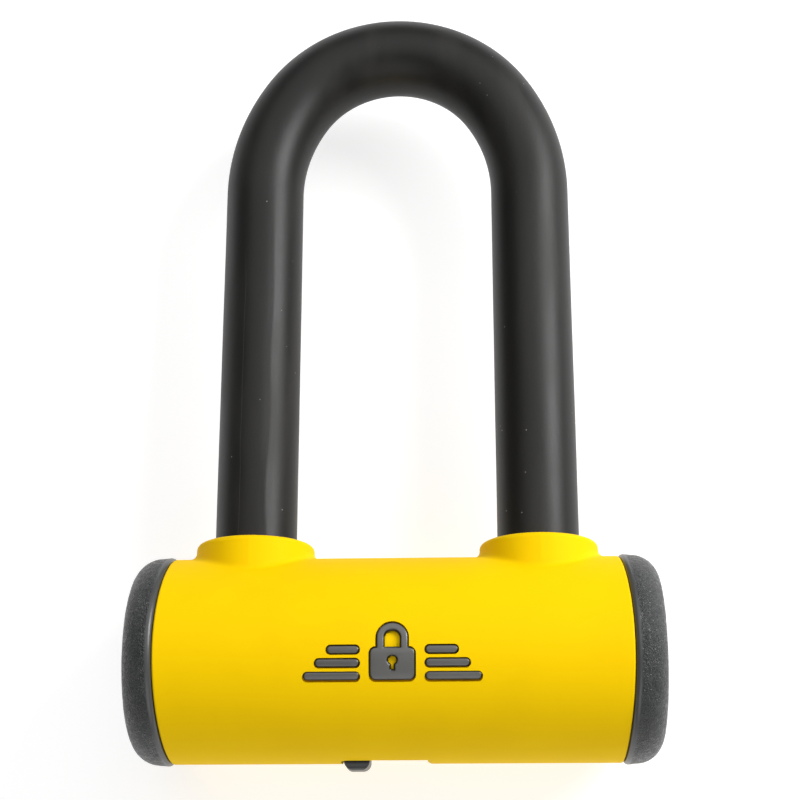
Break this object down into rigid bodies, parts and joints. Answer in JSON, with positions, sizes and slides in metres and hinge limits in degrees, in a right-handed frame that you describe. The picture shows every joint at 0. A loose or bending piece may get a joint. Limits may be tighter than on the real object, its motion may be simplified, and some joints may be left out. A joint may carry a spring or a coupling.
{
  "type": "u-lock",
  "caption": "Compact U-lock: a sleeved steel shackle whose two legs drop into a tubular crossbar, where a keyed core throws deadbolts into their notches.",
  "frame": {"origin": "centre of the crossbar, on its own axis", "axes": "+X along the crossbar, +Y along the shackle's legs towards the crown, +Z out of the emblem face, up when the lock lies on its back"},
  "size_m": [0.1132, 0.1788, 0.0448],
  "materials": {
    "sleeve_vinyl": "satin soft-touch vinyl sleeve, near black",
    "yellow_plastic": "fine-textured satin moulded plastic, bright yellow",
    "cap_plastic": "leather-grained moulded plastic, dark grey",
    "emblem_plastic": "satin moulded plastic, mid grey",
    "slider_nylon": "satin nylon, near black",
    "seal_rubber": "matt black rubber",
    "hardened_steel": "hardened and plated steel",
    "machined_steel": "turned steel",
    "sintered_steel": "sintered steel, fine grained",
    "spring_steel": "spring steel",
    "black_oxide_steel": "black oxide",
    "brass": "turned brass"
  },
  "bodies": {
    "crossbar": {"crossbar_tube": "hardened_steel", "crossbar_cover": "yellow_plastic", "emblem_inlays": "emblem_plastic", "left_end_cap": "cap_plastic", "right_end_cap": "cap_plastic", "left_end_plug": "machined_steel", "right_end_plug": "machined_steel", "left_plug_pin": "spring_steel", "right_plug_pin": "spring_steel", "left_leg_seal": "seal_rubber", "right_leg_seal": "seal_rubber", "left_leg_guide": "machined_steel", "right_leg_guide": "machined_steel", "bolt_housing_front": "sintered_steel", "bolt_housing_back": "sintered_steel", "housing_screws": "black_oxide_steel", "cylinder_housing": "machined_steel", "cylinder_pin": "spring_steel", "keyhole_bezel": "machined_steel"},
    "shackle": {"shackle_bar": "hardened_steel", "shackle_sleeve": "sleeve_vinyl"},
    "key_core": {"key_core": "brass", "anti_drill_disc": "hardened_steel", "locking_discs": "brass", "spacer_discs": "machined_steel", "sidebar": "machined_steel", "core_circlip": "spring_steel", "drive_cam": "hardened_steel"},
    "left_bolt": {"left_deadbolt": "hardened_steel"},
    "right_bolt": {"right_deadbolt": "hardened_steel"},
    "dust_cover": {"dust_cover": "slider_nylon"}
  },
  "joints": [
    {"name": "shackle_slide", "type": "slide", "parent": "crossbar", "child": "shackle", "axis": [0, 1, 0], "range_m": [0, 0.06]},
    {"name": "key_turn", "type": "hinge", "parent": "crossbar", "child": "key_core", "pos_m": [0, 0, 0], "axis": [0, 1, 0], "range_deg": [0, 90]},
    {"name": "left_bolt_slide", "type": "slide", "parent": "crossbar", "child": "left_bolt", "axis": [-1, 0, 0], "range_m": [0, 0.00636]},
    {"name": "right_bolt_slide", "type": "slide", "parent": "crossbar", "child": "right_bolt", "axis": [1, 0, 0], "range_m": [0, 0.00636]},
    {"name": "dust_cover_slide", "type": "slide", "parent": "crossbar", "child": "dust_cover", "axis": [1, 0, 0], "range_m": [0, 0.0119]}
  ],
  "couplings": [
    {"joint": "left_bolt_slide", "follows": "key_turn", "m_per_rad": 0.0040514},
    {"joint": "right_bolt_slide", "follows": "key_turn", "m_per_rad": 0.0040514}
  ]
}
